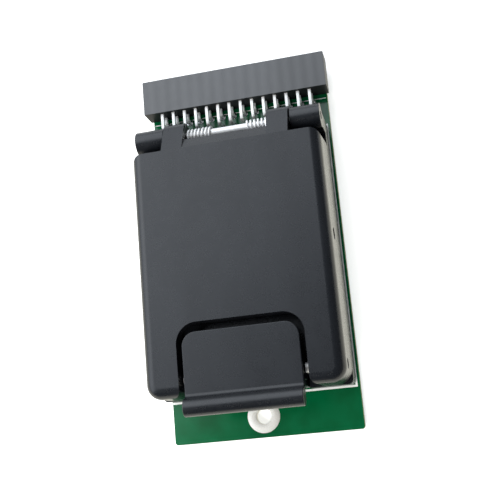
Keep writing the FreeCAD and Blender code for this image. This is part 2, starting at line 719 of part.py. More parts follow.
def lid_slot_walls():
    """Walls beside the latch, and the shelf that its springs stand on."""
    half = SLOT_W / 2
    high_z = LID_CEILING_Z + LID_ROOF / 2
    walls = []
    for side in (-1, 1):
        x0, x1 = sorted((side * half, side * (half + SLOT_WALL)))
        walls.append(box(SOCKET_X + x0, SOCKET_X + x1, SOCKET_FRONT_Y + LID_WALL / 2, SLOT_REAR_Y,
                         LID_FOOT_Z, high_z))
    walls.append(mid_box(SLOT_W + 2 * SLOT_WALL, SLOT_REAR_Y, SLOT_REAR_Y + SLOT_WALL,
                         SHELF_LOW_Z, high_z))
    walls.append(mid_box(SLOT_W, SHELF_FRONT_Y, SLOT_REAR_Y, SHELF_LOW_Z, SHELF_TOP_Z))
    return walls


def lid_cheeks():
    """Inner cheeks that steady the pressure pin beside the pressure plate."""
    cheeks = []
    inner = PLATE_W / 2 + CHEEK_GAP
    for side in (-1, 1):
        x0, x1 = sorted((side * inner, side * (inner + CHEEK_W)))
        cheeks.append(box(SOCKET_X + x0, SOCKET_X + x1, CHIP_Y - CHEEK_L / 2, CHIP_Y + CHEEK_L / 2,
                          PRESSURE_PIN_Z - PRESSURE_PIN_R - CHEEK_GAP, LID_CEILING_Z + LID_ROOF / 2))
    return cheeks


def lid_cuts():
    cuts = [slot_cut()]
    cuts.append(cross_rod(SHAFT_R + SHAFT_SLIP, -HALF_W, HALF_W, HINGE_Y, HINGE_Z))
    cuts.append(cross_rod(LATCH_PIN_R + SCREW_SLIP, -HALF_W - 1, HALF_W + 1, LATCH_PIN_Y, LATCH_PIN_Z))
    cuts.append(cross_rod(PRESSURE_PIN_R + SCREW_SLIP, -HALF_W - 1, HALF_W + 1, CHIP_Y, PRESSURE_PIN_Z))
    cuts.append(mid_box(2 * KNUCKLE_IN, LID_REAR_TOP_Y - 2 * LID_WALL, SOCKET_REAR_Y,
                        LID_FOOT_Z - 1, LEDGE_FOOT_Z))
    return cuts


def slot_cut():
    """Latch slot: rounded at the rear, flared at the front, open down to the spring shelf."""
    half = SLOT_W / 2
    back = rounded_slot(half, SLOT_REAR_Y, SLOT_CORNER_R, SHELF_TOP_Z)
    front = mid_box(SLOT_W, SOCKET_FRONT_Y - 1, SHELF_FRONT_Y, LID_FOOT_Z - 1, LID_TOP_Z + 1)
    flares = [slot_flare(side) for side in (-1, 1)]
    return back.multiFuse([front] + flares)


def rounded_slot(half, rear_y, radius, low_z):
    slot = mid_box(2 * half, SOCKET_FRONT_Y - 1, rear_y, low_z, LID_TOP_Z + 1)
    return round_uprights(slot, radius, keep=lambda p: p.y > rear_y - 0.01)


def slot_flare(side):
    """Convex rounding where the slot's side meets the lid's front."""
    x_side = SOCKET_X + side * SLOT_W / 2
    x_out = x_side + side * SLOT_FLARE_R
    x0, x1 = sorted((x_side, x_out))
    corner = box(x0, x1, SOCKET_FRONT_Y, SOCKET_FRONT_Y + SLOT_FLARE_R, LID_FOOT_Z - 1, LID_TOP_Z + 1)
    keep = rod(SLOT_FLARE_R, LID_TOP_Z, V(x_out, SOCKET_FRONT_Y + SLOT_FLARE_R, LID_FOOT_Z - 1), Z_AXIS)
    return corner.cut(keep)


def cross_pin(radius, y, z, inset):
    reach = HALF_W - inset
    return cross_rod(radius, -reach, reach, y, z)


def latch_lever():
    """Rocking latch: top panel, raised front roll to lift, pin boss and a leg that ends in a hook."""
    half = LATCH_W / 2
    panel = mid_box(LATCH_W, LATCH_FRONT_Y, LATCH_REAR_Y, LATCH_UNDER_Z, LID_TOP_Z)
    panel = round_uprights(panel, LATCH_CORNER_R, keep=lambda p: p.y > LATCH_REAR_Y - 0.01)
    boss = cross_rod(LATCH_BOSS_R, -half, half, LATCH_PIN_Y, LATCH_PIN_Z)
    neck = mid_box(LATCH_W, LATCH_PIN_Y - LATCH_BOSS_R, LATCH_PIN_Y + LATCH_BOSS_R,
                   LATCH_PIN_Z, LATCH_UNDER_Z)
    leg = mid_box(LEG_W, LATCH_FRONT_Y, LEG_INNER_Y, TOP + HOOK_LOW_H, LID_TOP_Z - LATCH_T / 2)
    hook = side_prism([(LEG_INNER_Y, TOP + HOOK_LOW_H), (LEG_INNER_Y, TOP + HOOK_TOP_H),
                       (CATCH_Y - HOOK_CLEAR, TOP + HOOK_TOP_H),
                       (CATCH_Y - HOOK_CLEAR, TOP + (HOOK_LOW_H + HOOK_TOP_H) / 2)],
                      -LEG_W / 2, LEG_W / 2)
    roll = cross_rod(ROLL_R, -half, half, ROLL_Y, ROLL_Z)
    lever = panel.multiFuse([boss, neck, leg, hook, roll, lip_web(half)])
    bore = cross_rod(LATCH_PIN_R + PLATE_PIN_SLIP, -half - 1, half + 1, LATCH_PIN_Y, LATCH_PIN_Z)
    return lever.cut(bore).removeSplitter()


def lip_web(half):
    """Web that carries the roll. Its top sweeps up in a hollow curve from the panel to the roll."""
    curve_z = LID_TOP_Z + LIP_FILLET_R
    reach = ROLL_R + LIP_FILLET_R
    rise = curve_z - ROLL_Z
    curve_y = ROLL_Y + math.sqrt(reach ** 2 - rise ** 2)
    last = math.pi / 2 - math.asin(rise / reach)
    outline = [(LATCH_PIN_Y, LID_TOP_Z)]
    for k in range(LIP_FILLET_STEPS + 1):
        angle = last * k / LIP_FILLET_STEPS
        outline.append((curve_y - LIP_FILLET_R * math.sin(angle), curve_z - LIP_FILLET_R * math.cos(angle)))
    outline += [(ROLL_Y, ROLL_Z), (ROLL_Y, ROLL_Z - ROLL_R), (LATCH_PIN_Y, ROLL_Z - ROLL_R)]
    return side_prism(outline, -half, half)


def latch_springs():
    return Part.makeCompound([
        upright_coil(LATCH_COIL_R, SMALL_WIRE, LATCH_COIL_TURNS, SOCKET_X + side * LATCH_SPRING_X,
                     LATCH_SPRING_Y, SHELF_TOP_Z, LATCH_UNDER_Z)
        for side in (-1, 1)])


def plate_spring_places():
    return [(SOCKET_X, CHIP_Y + side * PLATE_SPRING_Y) for side in (-1, 1)]


def pressure_plate():
    """Floating plate that rocks on the pressure pin and pushes the chip down with its foot."""
    block = cut_uprights(chip_block(PLATE_W, PLATE_L, PLATE_LOW_Z, PLATE_TOP_Z), PLATE_CORNER_CUT)
    foot = chip_block(CHIP_W - 2 * FOOT_INSET, CHIP_L - 2 * FOOT_INSET, FOOT_LOW_Z, PLATE_LOW_Z)
    cuts = [cross_rod(PRESSURE_PIN_R + PLATE_PIN_SLIP, -PLATE_W, PLATE_W, CHIP_Y, PRESSURE_PIN_Z)]
    pocket_r = PLATE_COIL_R + SMALL_WIRE / 2 + SPRING_POCKET_SLIP
    cuts += [sided_rod(pocket_r, SCREW_SIDES, PLATE_SPRING_DEPTH, x, y, PLATE_TOP_Z - PLATE_SPRING_DEPTH)
             for x, y in plate_spring_places()]
    return block.fuse(foot).cut(Part.makeCompound(cuts))


def pressure_springs():
    low_z = PLATE_TOP_Z - PLATE_SPRING_DEPTH
    return Part.makeCompound([
        upright_coil(PLATE_COIL_R, SMALL_WIRE, PLATE_COIL_TURNS, x, y, low_z, LID_CEILING_Z)
        for x, y in plate_spring_places()])


def sub_parts():
    """Every node by name."""
    return {
        "circuit_board": circuit_board(),
        "header_housing": header_housing(),
        "header_pins_lower": header_pins(0, LOWER_PIN_RUN),
        "header_pins_upper": header_pins(1, UPPER_PIN_RUN),
        "socket_base": socket_base(),
        "contact_carrier": contact_carrier(),
        "contact_pins": contact_pins(),
        "socket_screws": socket_screws(),
        "hinge_shaft": hinge_shaft(),
        "hinge_spring_left": hinge_spring(-1, HINGE_TURNS_LEFT),
        "hinge_spring_right": hinge_spring(1, HINGE_TURNS_RIGHT),
        "nest_screws": nest_screws(),
        "nest_springs": nest_springs(),
        "chip_nest": chip_nest(),
        "lid_cover": lid_cover(),
        "latch_pin": cross_pin(LATCH_PIN_R, LATCH_PIN_Y, LATCH_PIN_Z, SHAFT_END_INSET),
        "latch_springs": latch_springs(),
        "latch_lever": latch_lever(),
        "pressure_pin": cross_pin(PRESSURE_PIN_R, CHIP_Y, PRESSURE_PIN_Z, SHAFT_END_INSET),
        "pressure_springs": pressure_springs(),
        "pressure_plate": pressure_plate(),
    }


def main():
    os.makedirs(PARTS_DIR, exist_ok=True)
    for name, shape in sub_parts().items():
        shape.exportStep(os.path.join(PARTS_DIR, name + ".step"))
        print(name, len(shape.Solids), shape.isValid(), round(shape.Volume, 2))


main()
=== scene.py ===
import math

import bpy
from mathutils import Euler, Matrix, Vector


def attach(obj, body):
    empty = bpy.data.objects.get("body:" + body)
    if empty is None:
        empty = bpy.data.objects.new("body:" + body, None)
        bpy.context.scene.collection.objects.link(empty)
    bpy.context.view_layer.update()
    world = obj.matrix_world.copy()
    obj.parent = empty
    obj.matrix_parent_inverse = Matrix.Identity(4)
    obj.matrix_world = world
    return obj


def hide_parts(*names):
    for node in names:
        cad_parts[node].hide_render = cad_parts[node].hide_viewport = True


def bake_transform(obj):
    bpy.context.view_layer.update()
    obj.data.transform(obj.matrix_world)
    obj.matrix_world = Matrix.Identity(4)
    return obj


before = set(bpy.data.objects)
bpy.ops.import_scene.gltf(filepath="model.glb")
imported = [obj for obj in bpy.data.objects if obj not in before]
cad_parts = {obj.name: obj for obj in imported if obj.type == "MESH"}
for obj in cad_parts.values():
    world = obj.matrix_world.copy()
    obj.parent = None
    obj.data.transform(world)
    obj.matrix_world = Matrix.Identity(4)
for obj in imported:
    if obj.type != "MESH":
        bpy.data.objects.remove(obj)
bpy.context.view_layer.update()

# Programmer adapter with a latched test socket. Lengths below are millimetres in the CAD frame,
# turned to metres where meshes are made. +X right, +Y towards the header, +Z up.
MM = 0.001

# Camera, fitted to the photo's header, board and lid edges
CAMERA_PLACE = (35.097, -39.870, 176.115)
CAMERA_TURN = (11.5215, 12.6301, -5.15)
CAMERA_LENS = 60.925

# Board and what lies on it
TOP = 2.9
UNDER = 1.3
BOARD_LEFT = -19.8
BOARD_RIGHT = 19.8
PITCH = 2.54
COLUMNS = 14
TAIL_Y = (30.5, 27.96)
TAIL_SIDE = 0.64
PRINT_T = 0.02
PLATING_T = 0.02
SOCKET_X = -0.55
MOUNT_Y = -35.4
MOUNT_HOLE_R = 1.6
MOUNT_PAD_R = 3.4
HEADER_LINE_Y = 31.05

# Hinge shaft's axis and the chip's middle
HINGE_Y = 23.2
HINGE_Z = 13.5
CHIP_Y = -1.8

ROOT = "board_assembly"
LID = "lid"


# Node helpers
def new_material(name):
    """A material with its node tree, its shader and a texture coordinate in the CAD frame."""
    material = bpy.data.materials.new(name)
    material.use_nodes = True
    tree = material.node_tree
    shader = tree.nodes["Principled BSDF"]
    place = tree.nodes.new("ShaderNodeTexCoord").outputs["Object"]
    return material, tree, shader, place


def scaled(tree, place, factors):
    mapping = tree.nodes.new("ShaderNodeMapping")
    mapping.inputs["Scale"].default_value = factors
    tree.links.new(place, mapping.inputs["Vector"])
    return mapping.outputs["Vector"]


def noise(tree, place, per_mm, detail=2.0, roughness=0.5):
    node = tree.nodes.new("ShaderNodeTexNoise")
    node.inputs["Scale"].default_value = per_mm / MM
    node.inputs["Detail"].default_value = detail
    node.inputs["Roughness"].default_value = roughness
    tree.links.new(place, node.inputs["Vector"])
    return node.outputs["Fac"]


def ramp(tree, factor, low, high, from_low=0.35, from_high=0.65):
    """Blend between two colours as the factor goes from one value to another."""
    node = tree.nodes.new("ShaderNodeValToRGB")
    first, last = node.color_ramp.elements
    first.position = from_low
    last.position = from_high
    first.color = (*low, 1.0)
    last.color = (*high, 1.0)
    tree.links.new(factor, node.inputs["Fac"])
    return node.outputs["Color"]


def spread(tree, factor, low, high):
    """Map a 0 to 1 factor to a range."""
    node = tree.nodes.new("ShaderNodeMapRange")
    node.inputs["To Min"].default_value = low
    node.inputs["To Max"].default_value = high
    tree.links.new(factor, node.inputs["Value"])
    return node.outputs["Result"]


def constant_colour(tree, colour):
    node = tree.nodes.new("ShaderNodeRGB")
    node.outputs[0].default_value = (*colour, 1)
    return node.outputs[0]


def mix_colour(tree, factor, first, second):
    """The mix node's colours are its inputs 6 and 7 and its output 2."""
    node = tree.nodes.new("ShaderNodeMix")
    node.data_type = "RGBA"
    tree.links.new(factor, node.inputs["Factor"])
    tree.links.new(first, node.inputs[6])
    tree.links.new(second, node.inputs[7])
    return node.outputs[2]


def math_node(tree, operation, first, second):
    node = tree.nodes.new("ShaderNodeMath")
    node.operation = operation
    for socket, value in zip(node.inputs, (first, second)):
        if isinstance(value, (int, float)):
            socket.default_value = value
        else:
            tree.links.new(value, socket)
    return node.outputs["Value"]


def bump(tree, shader, height, depth_mm):
    node = tree.nodes.new("ShaderNodeBump")
    node.inputs["Strength"].default_value = 1.0
    node.inputs["Distance"].default_value = depth_mm * MM
    tree.links.new(height, node.inputs["Height"])
    tree.links.new(node.outputs["Normal"], shader.inputs["Normal"])


def facing_up(tree):
    """0 on side faces, 1 on faces that look up or down."""
    geometry = tree.nodes.new("ShaderNodeNewGeometry")
    split = tree.nodes.new("ShaderNodeSeparateXYZ")
    tree.links.new(geometry.outputs["Normal"], split.inputs["Vector"])
    level = math_node(tree, "ABSOLUTE", split.outputs["Z"], 0.0)
    node = tree.nodes.new("ShaderNodeMapRange")
    node.inputs["From Min"].default_value = SIDE_SLOPE
    node.inputs["From Max"].default_value = FLAT_SLOPE
    tree.links.new(level, node.inputs["Value"])
    return node.outputs["Result"]


def painted_gap_shade(tree, shader, level):
    """Painted shade: take the gloss off where other surfaces stand closer than GAP_REACH, so gaps
    and slots look dark.
    """
    shade = tree.nodes.new("ShaderNodeAmbientOcclusion")
    shade.samples = GAP_SAMPLES
    shade.inputs["Distance"].default_value = GAP_REACH * MM
    openness = tree.nodes.new("ShaderNodeMapRange")
    openness.inputs["From Min"].default_value = GAP_SHUT
    openness.inputs["From Max"].default_value = GAP_OPEN
    openness.inputs["To Max"].default_value = level
    tree.links.new(shade.outputs["AO"], openness.inputs["Value"])
    tree.links.new(openness.outputs["Result"], shader.inputs["Specular IOR Level"])


# Materials. A slope is the upright part of a face's normal; a gap goes from shut, 0, to open, 1.
SIDE_SLOPE = 0.5
FLAT_SLOPE = 0.8
GAP_REACH = 5.0
GAP_SAMPLES = 8
GAP_SHUT = 0.28
GAP_OPEN = 0.6
SINK_DEPTH = 0.008
HEADER_IOR = 1.57
# Share of the header's gloss left on its side faces: painted shade that darkens the sides
HEADER_SIDE_SHADED_GLOSS = 0.1
WEAVE_PITCH = 0.45
WEAVE_HEIGHT = 0.25
EVEN = (1.0, 1.0, 1.0)
ALONG_X = (0.06, 1.0, 1.0)
ALONG_Y = (1.0, 0.35, 1.0)
SOCKET_TONES = ((0.0075, 0.0086, 0.0108), (0.011, 0.0125, 0.0152))
HEADER_TONES = ((0.012, 0.0127, 0.014), (0.022, 0.0233, 0.0255))
CARRIER_TONES = ((0.03, 0.026, 0.02), (0.05, 0.043, 0.033))


def moulded_plastic(name, tones, rough, grain_mm, grain_depth, gloss=0.5):
    """Moulded plastic with a spark-eroded grain, faint flow marks, uneven gloss, and painted shade
    that takes the gloss off in gaps.
    """
    material, tree, shader, place = new_material(name)
    # Painted shade: reflections are taken off in gaps and slots
    painted_gap_shade(tree, shader, gloss)
    flow = noise(tree, scaled(tree, place, ALONG_Y), 0.12, 3.0)
    tree.links.new(ramp(tree, flow, *tones), shader.inputs["Base Color"])
    blotch = noise(tree, place, 0.5, 4.0, 0.6)
    tree.links.new(spread(tree, blotch, rough - 0.05, rough + 0.07), shader.inputs["Roughness"])
    grain = noise(tree, place, 1.0 / grain_mm, 2.0, 0.6)
    bump(tree, shader, grain, grain_depth)
    return material


def header_plastic(name):
    """Moulded plastic with a faint sink mark over each contact; painted shade makes its sides less
    glossy than its top and bottom.
    """
    material = moulded_plastic(name, HEADER_TONES,
                               rough=0.4, grain_mm=0.2, grain_depth=0.008, gloss=1.0)
    tree = material.node_tree
    shader = tree.nodes["Principled BSDF"]
    shader.inputs["IOR"].default_value = HEADER_IOR
    split = tree.nodes.new("ShaderNodeSeparateXYZ")
    tree.links.new(tree.nodes.new("ShaderNodeTexCoord").outputs["Object"], split.inputs["Vector"])
    turns = 2 * math.pi / (PITCH * MM)
    wave = math_node(tree, "COSINE", math_node(tree, "MULTIPLY", split.outputs["X"], turns), 0.0)
    sink = tree.nodes.new("ShaderNodeBump")
    sink.inputs["Distance"].default_value = SINK_DEPTH * MM
    tree.links.new(wave, sink.inputs["Height"])
    grain = shader.inputs["Normal"].links[0].from_node
    tree.links.new(sink.outputs["Normal"], grain.inputs["Normal"])
    # Gloss after the painted shade in gaps
    gap_shade = shader.inputs["Specular IOR Level"].links[0].from_socket
    # Painted shade: side faces keep only HEADER_SIDE_SHADED_GLOSS of the gloss, so they look darker
    side_shade = spread(tree, facing_up(tree), HEADER_SIDE_SHADED_GLOSS, 1.0)
    gloss = math_node(tree, "MULTIPLY", gap_shade, side_shade)
    tree.links.new(gloss, shader.inputs["Specular IOR Level"])
    return material


def solder_mask(name):
    """Green mask with the glass weave below it; the board's cut edges show bare laminate."""
    material, tree, shader, place = new_material(name)
    cloud = noise(tree, place, 0.15, 3.0)
    green = ramp(tree, cloud, (0.0002, 0.08, 0.024), (0.0008, 0.115, 0.038))
    speck = noise(tree, place, 3.0, 3.0)
    laminate = ramp(tree, speck, (0.28, 0.33, 0.16), (0.42, 0.45, 0.26))
    level = facing_up(tree)
    tree.links.new(mix_colour(tree, level, laminate, green), shader.inputs["Base Color"])
    tree.links.new(spread(tree, level, 0.75, 0.14), shader.inputs["Roughness"])
    weave = weave_height(tree, place)
    ripple = noise(tree, place, 0.9, 2.0)
    bump(tree, shader, math_node(tree, "ADD", weave, ripple), 0.003)
    return material


def weave_height(tree, place):
    """Plain weave from two crossed waves."""
    split = tree.nodes.new("ShaderNodeSeparateXYZ")
    tree.links.new(place, split.inputs["Vector"])
    turns = 2 * math.pi / (WEAVE_PITCH * MM)
    across = math_node(tree, "SINE", math_node(tree, "MULTIPLY", split.outputs["X"], turns), 0.0)
    along = math_node(tree, "SINE", math_node(tree, "MULTIPLY", split.outputs["Y"], turns), 0.0)
    return math_node(tree, "MULTIPLY", math_node(tree, "MULTIPLY", across, along), WEAVE_HEIGHT)


def masked_copper(name):
    """Tracks under the mask: a lighter green over copper."""
    material, tree, shader, place = new_material(name)
    cloud = noise(tree, place, 0.4, 3.0)
    green = ramp(tree, cloud, (0.004, 0.14, 0.055), (0.008, 0.18, 0.08))
    tree.links.new(green, shader.inputs["Base Color"])
    tree.links.new(spread(tree, cloud, 0.2, 0.34), shader.inputs["Roughness"])
    bump(tree, shader, noise(tree, place, 2.0, 2.0), 0.004)
    return material


def metal(name, dark, light, rough, scratch=EVEN, grain_depth=0.002, metallic=1.0):
    """Plated or ground metal with fine scratches, which may be drawn out along one axis."""
    material, tree, shader, place = new_material(name)
    shader.inputs["Metallic"].default_value = metallic
    streak = noise(tree, scaled(tree, place, scratch), 4.0, 3.0, 0.6)
    tree.links.new(ramp(tree, streak, dark, light), shader.inputs["Base Color"])
    tree.links.new(spread(tree, streak, rough * 0.7, rough * 1.4), shader.inputs["Roughness"])
    bump(tree, shader, streak, grain_depth)
    return material


def printed_ink(name):
    """White legend ink, a little thin in places."""
    material, tree, shader, place = new_material(name)
    thin = noise(tree, place, 2.5, 4.0, 0.7)
    tree.links.new(ramp(tree, thin, (0.74, 0.77, 0.73), (0.92, 0.93, 0.9), 0.25, 0.5),
                   shader.inputs["Base Color"])
    tree.links.new(spread(tree, thin, 0.4, 0.65), shader.inputs["Roughness"])
    bump(tree, shader, thin, 0.006)
    return material


SOCKET_PLASTIC = moulded_plastic("socket_plastic", SOCKET_TONES,
                                 rough=0.27, grain_mm=0.12, grain_depth=0.006)
LATCH_PLASTIC = moulded_plastic("latch_plastic", SOCKET_TONES,
                                rough=0.27, grain_mm=0.1, grain_depth=0.005)
HEADER_PLASTIC = header_plastic("header_plastic")
CARRIER_PLASTIC = moulded_plastic("carrier_plastic", CARRIER_TONES,
                                  rough=0.45, grain_mm=0.15, grain_depth=0.006)
MASK = solder_mask("solder_mask")
MASKED_COPPER = masked_copper("masked_copper")
INK = printed_ink("legend_ink")
PAD_TIN = metal("pad_tin", (0.86, 0.84, 0.77), (0.96, 0.95, 0.9), 0.5,
                grain_depth=0.02, metallic=0.3)
TIN = metal("tin_plate", (0.88, 0.88, 0.86), (0.97, 0.97, 0.95), 0.36, metallic=0.4)
SOLDER = metal("solder", (0.66, 0.67, 0.68), (0.88, 0.88, 0.88), 0.22, grain_depth=0.01)
GROUND_STEEL = metal("ground_steel", (0.88, 0.88, 0.87), (0.97, 0.97, 0.96), 0.38,
                     scratch=ALONG_X, metallic=0.5)
SPRING_WIRE = metal("spring_wire", (0.88, 0.88, 0.88), (0.97, 0.97, 0.97), 0.36, metallic=0.5)
GOLD = metal("gold_plate", (0.75, 0.5, 0.18), (0.95, 0.7, 0.3), 0.22)
ZINC = metal("zinc_plate", (0.42, 0.43, 0.45), (0.62, 0.63, 0.65), 0.32, grain_depth=0.004)

NODE_MATERIALS = {
    "circuit_board": MASK,
    "header_housing": HEADER_PLASTIC,
    "header_pins_lower": TIN,
    "header_pins_upper": TIN,
    "socket_base": SOCKET_PLASTIC,
    "contact_carrier": CARRIER_PLASTIC,
    "contact_pins": GOLD,
    "socket_screws": ZINC,
    "hinge_shaft": GROUND_STEEL,
    "hinge_spring_left": SPRING_WIRE,
    "hinge_spring_right": SPRING_WIRE,
    "nest_screws": ZINC,
    "nest_springs": SPRING_WIRE,
    "chip_nest": CARRIER_PLASTIC,
    "lid_cover": SOCKET_PLASTIC,
    "latch_pin": GROUND_STEEL,
    "latch_springs": SPRING_WIRE,
    "latch_lever": LATCH_PLASTIC,
    "pressure_pin": GROUND_STEEL,
    "pressure_springs": SPRING_WIRE,
    "pressure_plate": CARRIER_PLASTIC,
}

# Width of the rounding that each node's edges get, where they get one
NODE_EDGES = {
    "circuit_board": 0.06,
    "header_housing": 0.08,
    "header_pins_lower": 0.06,
    "header_pins_upper": 0.06,
    "socket_base": 0.15,
    "lid_cover": 0.15,
    "latch_lever": 0.18,
    "chip_nest": 0.1,
    "pressure_plate": 0.12,
    "hinge_shaft": 0.12,
    "latch_pin": 0.12,
    "pressure_pin": 0.12,
    "socket_screws": 0.1,
    "nest_screws": 0.08,
}
SHARP_ANGLE = math.radians(32)
FLAT_ANGLE = math.radians(0.4)
WELD_GAP = 1e-6
EDGE_SEGMENTS = 2
NORMAL_WEIGHT = 80


def dress_node(name, material):
    """Give a CAD node its material, smooth shading and softened edges."""
    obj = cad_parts[name]
    obj.data.materials.clear()
    obj.data.materials.append(material)
    for face in obj.data.polygons:
        face.use_smooth = True
    weld = obj.modifiers.new("weld", "WELD")
    weld.merge_threshold = WELD_GAP
    flat = obj.modifiers.new("flat", "DECIMATE")
    flat.decimate_type = "DISSOLVE"
    flat.angle_limit = FLAT_ANGLE
    if name in NODE_EDGES:
        edge = obj.modifiers.new("edge", "BEVEL")
        edge.width = NODE_EDGES[name] * MM
        edge.segments = EDGE_SEGMENTS
        edge.limit_method = "ANGLE"
        edge.angle_limit = SHARP_ANGLE
        edge.use_clamp_overlap = True
    normals = obj.modifiers.new("normals", "WEIGHTED_NORMAL")
    normals.weight = NORMAL_WEIGHT
    normals.keep_sharp = True


# Shapes as (vertices, faces) in millimetres
MITRE_LIMIT = 0.3


def lathe(profile, centre, segments, ring_shaped=False):
    """Turn a (radius, z) profile about an upright axis, with a face at each end or as a ring."""
    verts = []
    for radius, z in profile:
        for k in range(segments):
            angle = 2 * math.pi * k / segments
            verts.append((centre[0] + radius * math.cos(angle),
                          centre[1] + radius * math.sin(angle), z))
    faces = []
    rings = len(profile)
    for ring in range(rings if ring_shaped else rings - 1):
        low = ring * segments
        high = (ring + 1) % rings * segments
        for k in range(segments):
            nxt = (k + 1) % segments
            faces.append((low + k, low + nxt, high + nxt, high + k))
    if not ring_shaped:
        faces.append(tuple(range(segments))[::-1])
        faces.append(tuple((rings - 1) * segments + k for k in range(segments)))
    return verts, faces


def ribbon(points, width, z0, z1):
    """Flat strip along a bent line, with mitred corners."""
    count = len(points)
    left = []
    right = []
    for i in range(count):
        before = Vector(points[max(i - 1, 0)])
        here = Vector(points[i])
        after = Vector(points[min(i + 1, count - 1)])
        run_in = (here - before).normalized() if i > 0 else (after - here).normalized()
        run_out = (after - here).normalized() if i < count - 1 else run_in
        side = Vector((-run_in.y - run_out.y, run_in.x + run_out.x)).normalized()
        reach = width / 2 / max(side.dot(Vector((-run_in.y, run_in.x))), MITRE_LIMIT)
        left.append(here + side * reach)
        right.append(here - side * reach)
    verts = []
    for a, b in zip(left, right):
        verts += [(a.x, a.y, z0), (b.x, b.y, z0), (b.x, b.y, z1), (a.x, a.y, z1)]
    faces = [(0, 1, 2, 3), tuple(4 * (count - 1) + k for k in (3, 2, 1, 0))]
    for i in range(count - 1):
        low = 4 * i
        high = low + 4
        for k in range(4):
            nxt = (k + 1) % 4
            faces.append((low + k, high + k, high + nxt, low + nxt))
    return verts, faces


def sweep(points, radius, sides):
    """Round wire through a list of points."""
    points = [Vector(p) for p in points]
    count = len(points)
    tangents = []
    for i in range(count):
        tangents.append((points[min(i + 1, count - 1)] - points[max(i - 1, 0)]).normalized())
    normal = tangents[0].orthogonal().normalized()
    verts = []
    for i in range(count):
        normal = (normal - tangents[i] * normal.dot(tangents[i])).normalized()
        across = tangents[i].cross(normal)
        for k in range(sides):
            angle = 2 * math.pi * k / sides
            verts.append(points[i] + (normal * math.cos(angle) + across * math.sin(angle)) * radius)
    faces = [tuple(range(sides))[::-1], tuple((count - 1) * sides + k for k in range(sides))]
    for i in range(count - 1):
        for k in range(sides):
            nxt = (k + 1) % sides
            low = i * sides
            high = low + sides
            faces.append((low + k, low + nxt, high + nxt, high + k))
    return verts, faces


def add_piece(name, shapes, material, body, smooth=True):
    """One mesh object from several shapes, riding on a body."""
    verts = []
    faces = []
    for shape_verts, shape_faces in shapes:
        start = len(verts)
        verts += [Vector(v) * MM for v in shape_verts]
        faces += [tuple(start + i for i in face) for face in shape_faces]
    mesh = bpy.data.meshes.new(name)
    mesh.from_pydata(verts, [], faces)
    mesh.validate()
    for face in mesh.polygons:
        face.use_smooth = smooth
    mesh.materials.append(material)
    obj = bpy.data.objects.new(name, mesh)
    bpy.context.scene.collection.objects.link(obj)
    if body is not None:
        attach(obj, body)
    return obj


# Springs
HINGE_COIL_R = 1.235
HINGE_WIRE_R = 0.225
# Side of the socket, turns and width of each coil
HINGE_SPRINGS = {"hinge_spring_left": (-1, 6.25, 4.785), "hinge_spring_right": (1, 5.25, 4.125)}
HINGE_SPRING_OUTER_X = 8.35
HINGE_FOOT_Z = 7.92
HINGE_LEG_L = 5.4
HINGE_WIRE_SIDES = 12
SMALL_WIRE_R = 0.15
SMALL_WIRE_SIDES = 8
SMALL_SPRING_GAP = 0.02
TURN_STEPS = 24
NEST_SPRING_REACH = 9.3
NEST_SPRING_Z = (5.5, 7.9)
LATCH_SPRING_REACH = 7.0
LATCH_SPRING_Y = -20.9
LATCH_SPRING_Z = (13.5, 17.7)
PLATE_SPRING_REACH = 4.6
PLATE_SPRING_Z = (14.4, 17.0)


def helix(radius, pitch, turns):
    """Points of a coil about +X that starts on its rear side and turns upwards."""
    points = []
    for step in range(round(turns * TURN_STEPS) + 1):
        angle = 2 * math.pi * step / TURN_STEPS
        points.append((pitch * step / TURN_STEPS,
                       radius * math.cos(angle), radius * math.sin(angle)))
    return points


def hinge_spring(name, side, turns, width):
    """Torsion spring round the hinge, from its foot on the base to its arm on the lid."""
    start = HINGE_SPRING_OUTER_X - width
    coil = [(SOCKET_X + side * (start + x), HINGE_Y + y, HINGE_Z + z)
            for x, y, z in helix(HINGE_COIL_R, width / turns, turns)]
    foot = (coil[0][0], coil[0][1], HINGE_FOOT_Z)
    arm = (coil[-1][0], coil[-1][1] - HINGE_LEG_L, coil[-1][2])
    shape = sweep([foot] + coil + [arm], HINGE_WIRE_R, HINGE_WIRE_SIDES)
    obj = add_piece(name + "_wire", [shape], SPRING_WIRE, None)
    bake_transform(obj)
    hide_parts(name)


def pushing_coil(radius, turns, x, y, z0, z1):
    """Compression spring between two heights, with even turns."""
    steps = round(turns * TURN_STEPS)
    low = z0 + SMALL_WIRE_R + SMALL_SPRING_GAP
    high = z1 - SMALL_WIRE_R - SMALL_SPRING_GAP
    points = []
    for step in range(steps + 1):
        angle = 2 * math.pi * step / TURN_STEPS
        rise = low + (high - low) * step / steps
        points.append((x + radius * math.cos(angle), y + radius * math.sin(angle), rise))
    return sweep(points, SMALL_WIRE_R, SMALL_WIRE_SIDES)


def pushing_springs(node, radius, turns, places, z0, z1, low_body, high_body):
    shapes = [pushing_coil(radius, turns, x, y, z0, z1) for x, y in places]
    obj = add_piece(node + "_wire", shapes, SPRING_WIRE, None)
    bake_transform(obj)
    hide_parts(node)


def add_springs():
    for name, (side, turns, width) in HINGE_SPRINGS.items():
        hinge_spring(name, side, turns, width)
    nest_places = [(SOCKET_X + i * NEST_SPRING_REACH, CHIP_Y + j * NEST_SPRING_REACH)
                   for i in (-1, 1) for j in (-1, 1)]
    pushing_springs("nest_springs", 1.15, 3.5, nest_places, *NEST_SPRING_Z, ROOT, "nest")
    latch_places = [(SOCKET_X + i * LATCH_SPRING_REACH, LATCH_SPRING_Y) for i in (-1, 1)]
    pushing_springs("latch_springs", 1.2, 4.5, latch_places, *LATCH_SPRING_Z, LID, "latch")
    plate_places = [(SOCKET_X, CHIP_Y + j * PLATE_SPRING_REACH) for j in (-1, 1)]
    pushing_springs("pressure_springs", 1.1, 3.5, plate_places, *PLATE_SPRING_Z,
                    "pressure_plate", LID)


